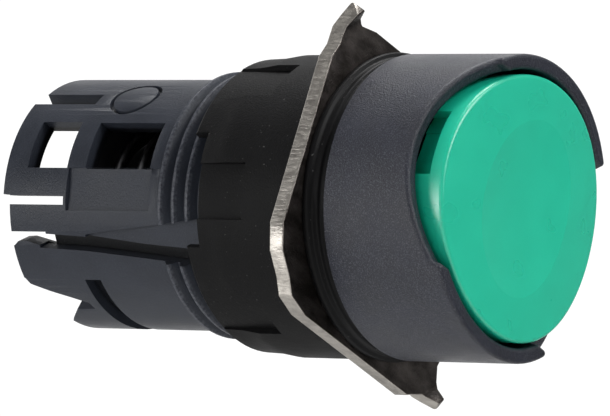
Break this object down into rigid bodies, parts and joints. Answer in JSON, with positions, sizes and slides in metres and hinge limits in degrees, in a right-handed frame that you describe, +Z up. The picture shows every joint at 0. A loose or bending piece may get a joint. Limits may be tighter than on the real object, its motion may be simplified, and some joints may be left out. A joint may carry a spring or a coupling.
{
  "type": "panel push button operator",
  "caption": "Guarded round push button head with a green momentary cap, threaded shank, lock plate and ring nut, for a control panel.",
  "frame": {"origin": "on the button's axis, in the plane of the panel's front face, where the gasket's rear face meets the lock plate", "axes": "+Y along the axis, from the cap towards the rear cage, the way the button is pressed; +Z up, through the middle of the bezel's upper guard"},
  "size_m": [0.0185, 0.0331, 0.0185],
  "materials": {
    "bezel_plastic": "fine spark-eroded texture, dark blue-grey",
    "body_plastic": "satin moulded, blue-grey",
    "cap_green": "semi-gloss moulded, signal green",
    "holder_green": "moulded, darker green",
    "inner_plastic": "moulded, black",
    "nut_plastic": "matte glass-filled, black",
    "gasket_rubber": "moulded rubber, black",
    "seal_rubber": "moulded rubber, black",
    "plate_steel": "stamped steel, dark faces and bright sheared edges",
    "spring_steel": "drawn spring wire"
  },
  "bodies": {
    "head": {"front_bezel": "bezel_plastic", "threaded_body": "body_plastic", "body_o_ring": "seal_rubber", "plunger_seal": "seal_rubber", "seal_retainer": "inner_plastic", "return_spring": "spring_steel", "spring_retainer": "inner_plastic", "panel_gasket": "gasket_rubber"},
    "button": {"push_cap": "cap_green", "cap_holder": "holder_green", "plunger": "inner_plastic"},
    "plate": {"anti_rotation_plate": "plate_steel"},
    "nut": {"ring_nut": "nut_plastic"}
  },
  "joints": [
    {"name": "button_press", "type": "slide", "parent": "head", "child": "button", "axis": [0, 1, 0], "range_m": [0, 0.0035], "stiffness_N_per_m": 570, "springref_m": -0.003, "deforming": ["return_spring"]},
    {"name": "plate_slide", "type": "slide", "parent": "head", "child": "plate", "axis": [0, 1, 0], "range_m": [0, 0.006]},
    {"name": "nut_turn", "type": "hinge", "parent": "plate", "child": "nut", "pos_m": [0, 0, 0], "axis": [0, 1, 0], "range_deg": [0, 2160]}
  ],
  "couplings": [
    {"joint": "nut_turn", "follows": "plate_slide", "rad_per_m": 6283.2}
  ]
}
